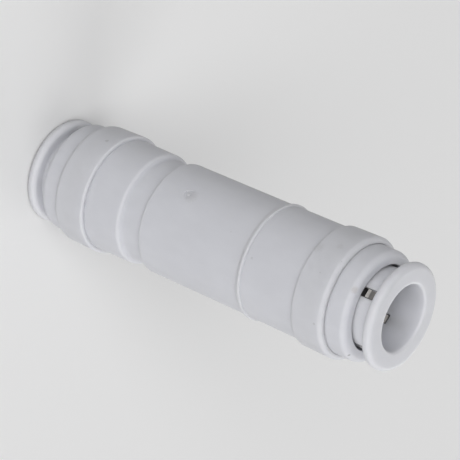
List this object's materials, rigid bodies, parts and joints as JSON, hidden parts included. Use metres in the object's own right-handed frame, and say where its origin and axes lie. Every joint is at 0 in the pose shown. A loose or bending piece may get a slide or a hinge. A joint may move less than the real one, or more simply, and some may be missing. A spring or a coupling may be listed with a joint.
{
  "type": "non-return valve",
  "caption": "In-line non-return valve: white push-fit sockets for 12 mm pipe at both ends, release collets, sprung poppet inside.",
  "frame": {"origin": "centre of the inlet collet's outer face, on which the valve stands", "axes": "+Z along the valve's axis, in the direction of flow from inlet to outlet"},
  "size_m": [0.0224, 0.0224, 0.0775],
  "materials": {
    "white_acetal": "satin moulded acetal",
    "collet_acetal": "satin moulded acetal",
    "natural_acetal": "natural moulded acetal",
    "black_rubber": "matt moulded rubber",
    "stainless": "stamped strip",
    "spring_steel": "drawn wire"
  },
  "bodies": {
    "housing": {"valve_body": "white_acetal", "end_socket": "white_acetal", "body_seal": "black_rubber", "check_cartridge": "natural_acetal", "cartridge_seal": "black_rubber", "spring_guide": "natural_acetal", "check_spring": "spring_steel", "inlet_retainer": "white_acetal", "inlet_spacer": "natural_acetal", "inlet_tube_seal": "black_rubber", "outlet_retainer": "white_acetal", "outlet_spacer": "natural_acetal", "outlet_tube_seal": "black_rubber"},
    "inlet_collet": {"inlet_collet": "collet_acetal", "inlet_tooth_1": "stainless", "inlet_tooth_2": "stainless", "inlet_tooth_3": "stainless", "inlet_tooth_4": "stainless"},
    "outlet_collet": {"outlet_collet": "collet_acetal", "outlet_tooth_1": "stainless", "outlet_tooth_2": "stainless", "outlet_tooth_3": "stainless", "outlet_tooth_4": "stainless"},
    "poppet": {"poppet": "natural_acetal", "poppet_seal": "black_rubber"}
  },
  "joints": [
    {"name": "inlet_collet_press", "type": "slide", "parent": "housing", "child": "inlet_collet", "axis": [0, 0, 1], "range_m": [-0.0011, 0.0009]},
    {"name": "outlet_collet_press", "type": "slide", "parent": "housing", "child": "outlet_collet", "axis": [0, 0, -1], "range_m": [0, 0.002]},
    {"name": "poppet_lift", "type": "slide", "parent": "housing", "child": "poppet", "axis": [0, 0, 1], "range_m": [0, 0.0034], "stiffness_N_per_m": 80, "springref_m": -0.003, "deforming": ["check_spring"]}
  ]
}
